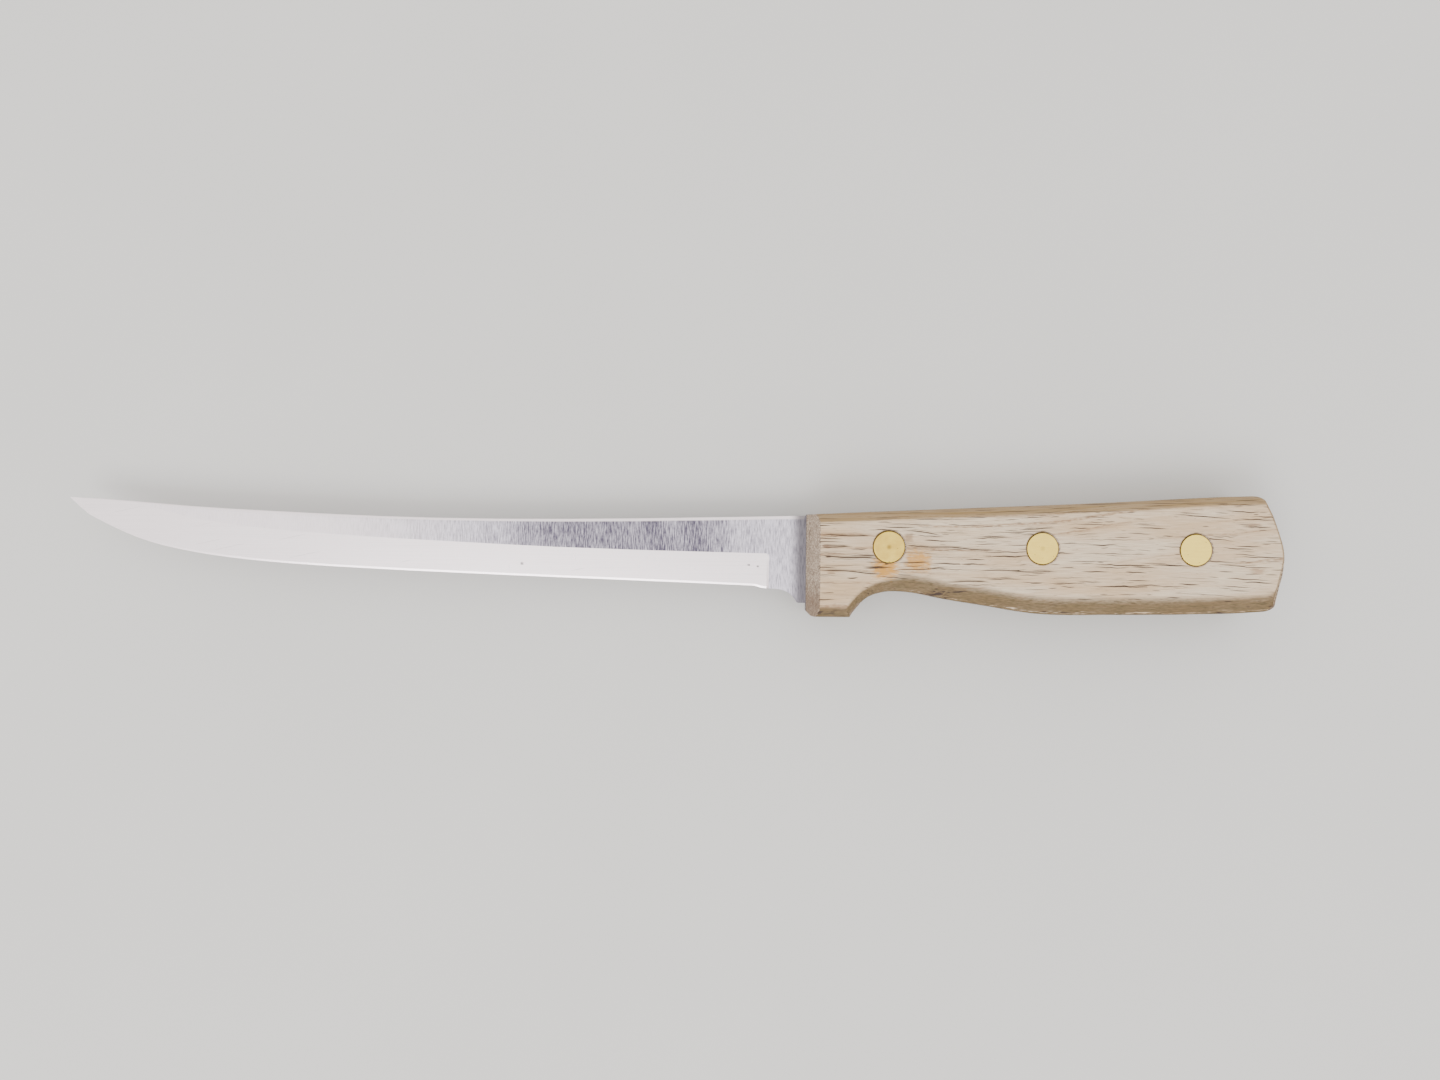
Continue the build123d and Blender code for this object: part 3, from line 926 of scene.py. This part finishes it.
def ground_brass(name, settings, centre, tarnish):
    """Cartridge brass, ground flush with the wood and handled.

    It gives a pale gold disc with fine grinding marks, duller and darker where the brass has tarnished.
    Real grinding marks are a few hundredths of a millimetre wide and are drawn 0.1 mm wide.
    """
    material, tree, shader = new_material(name)
    place, x, y, _ = place_in_mm(tree, centre)
    across = add(tree, "CombineXYZ", (x, y))
    radius = add(tree, "VectorMath", [across], output=1, operation="LENGTH")
    # each noise has cells of a size in mm along X, Y and Z and a number of finer layers
    noise = {}
    cells = {"clouds": ((2.2, 2.2, 4.0), 3.0), "marks": ((3.0, 0.10, 4.0), 2.0)}
    for step, (kind, (cell, detail)) in enumerate(cells.items()):
        sized = add(tree, "VectorMath", (place, cell), operation="DIVIDE")
        inputs = {"Vector": sized, "W": tarnish * 10 + step, "Scale": 1.0, "Detail": detail}
        noise[kind] = add(tree, "TexNoise", inputs, noise_dimensions="4D")
    most = tarnish * 0.9
    dulled = add(tree, "MapRange", (noise["clouds"], 0.3, 0.75, tarnish * 0.35, most))
    middle = add(tree, "MapRange", (radius, 1.6, 0.1, 0, most), interpolation_type="SMOOTHSTEP")
    share = add(tree, "Math", (dulled, middle), operation="MAXIMUM")
    nick = slits(tree, x, y, (2.3, 2.0), (0.24, 0.18), 0.35, 0.7, 3.0 + tarnish * 7)
    dark = (radius, 0.9, 0.1, 0, tarnish * 0.6)
    spot = add(tree, "MapRange", dark, interpolation_type="SMOOTHSTEP")
    rim = add(tree, "MapRange", (radius, RIVET_RADIUS - 0.18, RIVET_RADIUS - 0.02, 0, 0.5))
    colour = settings.bright
    for cover, over in [
        (share, settings.dull),
        (add(tree, "MapRange", (noise["marks"], 0.5, 0.8, 0, 0.3)), settings.dull),
        (nick, srgb("#5E4A25")),
        (spot, srgb("#6A5426")),
        (rim, srgb("#7A5C28")),
    ]:
        colour = add(tree, "Mix", {0: cover, 6: colour, 7: over}, output=2, data_type="RGBA")
    tree.links.new(colour, shader["Base Color"])
    shader["Metallic"].default_value = 1.0
    rough = add(tree, "Math", (share, 0.2, 0.36), operation="MULTIPLY_ADD")
    tree.links.new(rough, shader["Roughness"])
    height = add(tree, "Math", (noise["marks"], nick), operation="SUBTRACT")
    bump = add(tree, "Bump", {"Height": height, "Strength": 0.3, "Distance": 0.02 * MM})
    tree.links.new(bump, shader["Normal"])
    return material


def matt_floor(settings):
    """Matt painted board, rolled: an even pale ground with a faint mottle."""
    material, tree, shader = new_material("matt_floor")
    place = place_in_mm(tree)[0]
    sized = add(tree, "VectorMath", (place, (60.0, 60.0, 60.0)), operation="DIVIDE")
    inputs = {"Vector": sized, "W": 0.0, "Scale": 1.0, "Detail": 2.0}
    mottle = add(tree, "TexNoise", inputs, noise_dimensions="4D")
    inputs = {0: mottle, 6: settings.floor, 7: srgb("#C6C5C3")}
    colour = add(tree, "Mix", inputs, output=2, data_type="RGBA")
    tree.links.new(colour, shader["Base Color"])
    shader["Roughness"].default_value = 0.9
    return material


# ---- operators ---------------------------------------------------------------------------------
class KNIFE_OT_blade(bpy.types.Operator):
    """Build the ground steel blade with its tang"""

    bl_idname = "knife.blade"
    bl_label = "Blade"

    def execute(self, context):
        settings = context.scene.knife_blade
        mesh = build_blade_mesh(settings)
        new_piece("blade_ground", mesh, brushed_stainless(settings), "blade_steel", "blade")
        return {"FINISHED"}


# stains on a scale: centre from the front rivet and half size in mm, colour and strength
STAINS = {
    "near_scale": [
        ((-0.9, -5.1), (3.3, 2.8), "#B98433", 0.95),
        ((7.2, -3.5), (3.4, 2.7), "#B98433", 0.85),
        ((-0.6, -4.0), (0.45, 0.4), "#2A1A10", 1.0),
        ((4.9, 2.4), (1.1, 1.3), "#7A5C40", 0.55),
        ((-15.0, -2.5), (0.7, 0.32), "#3A2618", 0.9),
        ((-15.4, 0.05), (1.1, 0.5), "#6B4B35", 0.7),
        ((-14.3, -6.6), (1.1, 0.25), "#7A5C40", 0.6),
        ((91.2, -5.0), (1.9, 0.9), "#8A684C", 0.55),
        ((90.0, 6.4), (1.9, 0.4), "#8A684C", 0.55),
    ],
    "far_scale": [
        ((-6.0, 3.0), (2.6, 1.4), "#C98F55", 0.4),
        ((88.0, -6.0), (3.4, 1.0), "#8A684C", 0.5),
    ],
}


class KNIFE_OT_scales(bpy.types.Operator):
    """Build the two worn wooden scales"""

    bl_idname = "knife.scales"
    bl_label = "Wooden scales"

    def execute(self, context):
        settings = context.scene.knife_scales
        for node, seed in (("near_scale", 1), ("far_scale", 31)):
            material = weathered_oak(node, settings, seed, STAINS[node])
            mesh = worn_scale_mesh(node, settings, seed)
            new_piece(f"{node}_worn", mesh, material, "handle_wood", node)
        return {"FINISHED"}


# how dull each rivet has become, from 0 to 1
TARNISH = {"front": 0.8, "middle": 0.3, "rear": 0.06}


class KNIFE_OT_rivets(bpy.types.Operator):
    """Build the three brass rivets, each from a pin half and a sleeve half"""

    bl_idname = "knife.rivets"
    bl_label = "Brass rivets"

    def execute(self, context):
        settings = context.scene.knife_rivets
        for name in RIVETS:
            centre = rivet_centre(name)
            material = ground_brass(f"ground_brass_{name}", settings, centre, TARNISH[name])
            for half, build in (("pin", pin_mesh), ("sleeve", sleeve_mesh)):
                node = f"{name}_rivet_{half}"
                mesh = build(node, centre, settings)
                new_piece(f"{node}_turned", mesh, material, "rivet_brass", node)
        return {"FINISHED"}


# the stage: metres, watts and degrees
FLOOR_REACH = 3.0
SKY_STRENGTH = 1.9
LIGHT_PLACE = Vector((-0.25, -0.75, 1.1))
LIGHT_SIZE = 0.7
LIGHT_POWER = 10.0
CAMERA_X, CAMERA_Y = 0.01293, 0.00330
CAMERA_TURN = 0.6


class KNIFE_OT_stage(bpy.types.Operator):
    """Build the floor, the soft light and the camera"""

    bl_idname = "knife.stage"
    bl_label = "Stage"

    def execute(self, context):
        settings = context.scene.knife_stage
        scene = context.scene
        mesh = bpy.data.meshes.new("floor")
        turns = ((-1, -1), (1, -1), (1, 1), (-1, 1))
        corners = [(x * FLOOR_REACH, y * FLOOR_REACH, 0) for x, y in turns]
        mesh.from_pydata(corners, [], [(0, 1, 2, 3)])
        mesh.materials.append(matt_floor(settings))
        floor = bpy.data.objects.new("floor", mesh)
        scene.collection.objects.link(floor)
        floor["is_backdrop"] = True

        world = bpy.data.worlds.new("studio")
        world.use_nodes = True
        tree = world.node_tree
        tree.nodes.clear()
        # an even sky, a little darker in one spot near the zenith
        direction = add(tree, "TexCoord", output="Generated")
        off = add(tree, "VectorMath", (direction, (-0.06, 0.06, 1.0)), operation="SUBTRACT")
        squeezed = add(tree, "VectorMath", (off, (0.5, 1.4, 1.0)), operation="MULTIPLY")
        away = add(tree, "VectorMath", [squeezed], output=1, operation="LENGTH")
        share = add(tree, "MapRange", (away, 0.04, 0.22), interpolation_type="SMOOTHSTEP")
        inputs = {0: share, 6: srgb("#E0DEE0"), 7: srgb("#FFFDFA")}
        colour = add(tree, "Mix", inputs, output=2, data_type="RGBA")
        background = add(tree, "Background", (colour, SKY_STRENGTH * settings.light))
        add(tree, "OutputWorld", [background])
        scene.world = world

        light = bpy.data.lights.new("key_light", "AREA")
        light.shape = "SQUARE"
        light.size = LIGHT_SIZE
        light.energy = LIGHT_POWER * settings.light
        lamp = bpy.data.objects.new("key_light", light)
        lamp.location = LIGHT_PLACE
        lamp.rotation_euler = (-LIGHT_PLACE).to_track_quat("-Z", "Y").to_euler()
        scene.collection.objects.link(lamp)

        data = bpy.data.cameras.new("camera")
        data.sensor_width = 36.0
        data.lens = settings.lens
        data.clip_start = 0.01
        camera = bpy.data.objects.new("camera", data)
        camera.location = (CAMERA_X, CAMERA_Y, MIDDLE_Z + settings.camera_height)
        camera.rotation_euler = (0, 0, math.radians(CAMERA_TURN))
        scene.collection.objects.link(camera)
        scene.camera = camera
        return {"FINISHED"}


class KNIFE_PT_panel(bpy.types.Panel):
    """The knife's pieces and their settings"""

    bl_idname = "KNIFE_PT_panel"
    bl_label = "Boning knife"
    bl_space_type = "VIEW_3D"
    bl_region_type = "UI"
    bl_category = "Knife"

    def draw(self, context):
        for operator, settings in STEPS:
            box = self.layout.box()
            box.operator(operator.bl_idname)
            group = getattr(context.scene, settings)
            for name in group.__annotations__:
                box.prop(group, name)


STEPS = [
    (KNIFE_OT_blade, "knife_blade"),
    (KNIFE_OT_scales, "knife_scales"),
    (KNIFE_OT_rivets, "knife_rivets"),
    (KNIFE_OT_stage, "knife_stage"),
]
SETTINGS = {
    "knife_blade": BladeSettings,
    "knife_scales": ScaleSettings,
    "knife_rivets": RivetSettings,
    "knife_stage": StageSettings,
}
CLASSES = [*SETTINGS.values(), *[operator for operator, _ in STEPS], KNIFE_PT_panel]


def register():
    """Registers every class and gives the scene its settings."""
    for kind in CLASSES:
        bpy.utils.register_class(kind)
    for name, group in SETTINGS.items():
        setattr(bpy.types.Scene, name, bpy.props.PointerProperty(type=group))


def unregister():
    """Undoes register."""
    for name in SETTINGS:
        delattr(bpy.types.Scene, name)
    for kind in reversed(CLASSES):
        bpy.utils.unregister_class(kind)


def main():
    """Builds every piece and the stage."""
    register()
    bpy.ops.knife.blade()
    bpy.ops.knife.scales()
    bpy.ops.knife.rivets()
    bpy.ops.knife.stage()
    boxes = {"cad": CAD_BOX, "visual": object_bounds()}
    boxes = {name: [list(corner) for corner in box] for name, box in boxes.items()}


if __name__ == "__main__":
    main()
